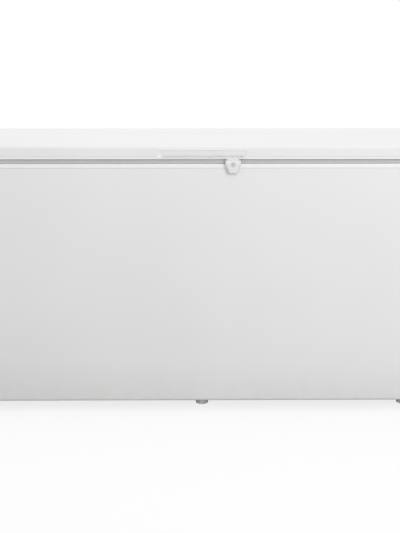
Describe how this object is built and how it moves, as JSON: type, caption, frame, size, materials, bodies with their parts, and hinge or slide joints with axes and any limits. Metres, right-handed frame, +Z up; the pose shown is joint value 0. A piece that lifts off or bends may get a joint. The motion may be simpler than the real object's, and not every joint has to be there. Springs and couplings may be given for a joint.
{
  "type": "chest freezer",
  "caption": "Wide white chest freezer with a hinged foamed lid, recessed handle, key lock, stepped inner tank, sliding wire baskets and a cooling unit in one end.",
  "frame": {"origin": "on the floor, under the middle of the overall plan", "axes": "+X to the right along the front, +Y to the back, +Z up"},
  "size_m": [1.65, 0.7196, 0.85],
  "materials": {
    "white_enamel": "semi-gloss white enamel with a fine orange peel",
    "zinc_sheet": "galvanised sheet with a soft spangle",
    "foam": "rigid polyurethane foam, matte",
    "liner_aluminium": "stucco embossed aluminium, satin",
    "white_plastic": "moulded white plastic, satin",
    "grille_plastic": "grained light grey plastic",
    "seal_rubber": "soft grey vinyl, matte",
    "foot_plastic": "grey nylon, matte",
    "black_enamel": "black stove enamel",
    "black_rubber": "black rubber",
    "black_plastic": "black plastic, matte",
    "copper": "bare copper tube, slightly dull",
    "zinc_steel": "bright zinc plate",
    "lock_chrome": "nickel plate, bright",
    "coated_wire": "white dip coating over steel wire",
    "lamp_lens": "clear tinted lens"
  },
  "bodies": {
    "cabinet": {"outer_wrapper": "white_enamel", "back_panel": "white_enamel", "bottom_panel": "zinc_sheet", "compressor_tray": "zinc_sheet", "compartment_cover": "zinc_sheet", "cabinet_foam": "foam", "inner_liner": "liner_aluminium", "top_frame": "white_plastic", "vent_grille": "grille_plastic", "drain_tube": "grille_plastic", "feet": "foot_plastic", "compressor": "black_enamel", "compressor_mounts": "black_rubber", "cable_bush": "black_rubber", "terminal_cover": "black_plastic", "thermostat": "black_plastic", "filter_drier": "copper", "suction_pipe": "copper", "discharge_pipe": "copper", "evaporator_coil": "copper", "condenser_coil": "copper", "hinge_bracket_left": "zinc_steel", "hinge_bracket_right": "zinc_steel", "hinge_pin_left": "zinc_steel", "hinge_pin_right": "zinc_steel", "hinge_spring_left": "zinc_steel", "hinge_spring_right": "zinc_steel", "lock_keeper": "zinc_steel", "pilot_lamps": "lamp_lens"},
    "lid": {"lid_skin": "white_enamel", "lid_foam": "foam", "lid_liner": "white_plastic", "lid_gasket": "seal_rubber", "lid_handle": "white_plastic", "lock_shield": "white_plastic", "hinge_leaf_left": "zinc_steel", "hinge_leaf_right": "zinc_steel"},
    "lock": {"lock_barrel": "lock_chrome", "lock_cam": "zinc_steel"},
    "knob": {"thermostat_knob": "grille_plastic"},
    "left_basket": {"basket_left": "coated_wire"},
    "right_basket": {"basket_right": "coated_wire"},
    "floor_plug": {"drain_plug": "white_plastic"},
    "outlet_cap": {"drain_cap": "white_plastic"}
  },
  "joints": [
    {"name": "lid_hinge", "type": "hinge", "parent": "cabinet", "child": "lid", "pos_m": [0, 0.34875, 0.805], "axis": [-1, 0, 0], "range_deg": [0, 82], "stiffness_Nm_per_rad": 25, "springref_deg": 88.81},
    {"name": "lock_turn", "type": "hinge", "parent": "lid", "child": "lock", "pos_m": [0.094, -0.34875, 0.7945], "axis": [0, 1, 0], "range_deg": [0, 90]},
    {"name": "knob_turn", "type": "hinge", "parent": "cabinet", "child": "knob", "pos_m": [0.8086, -0.042, 0.1815], "axis": [1, 0, 0], "range_deg": [0, 270]},
    {"name": "left_basket_slide", "type": "slide", "parent": "cabinet", "child": "left_basket", "axis": [1, 0, 0], "range_m": [-0.118, 0.4]},
    {"name": "right_basket_slide", "type": "slide", "parent": "cabinet", "child": "right_basket", "axis": [1, 0, 0], "range_m": [-0.4, 0.012]},
    {"name": "floor_plug_pull", "type": "slide", "parent": "cabinet", "child": "floor_plug", "axis": [0, 0, 1], "range_m": [0, 0.05]},
    {"name": "outlet_cap_pull", "type": "slide", "parent": "cabinet", "child": "outlet_cap", "axis": [-1, 0, 0], "range_m": [0, 0.03]}
  ]
}
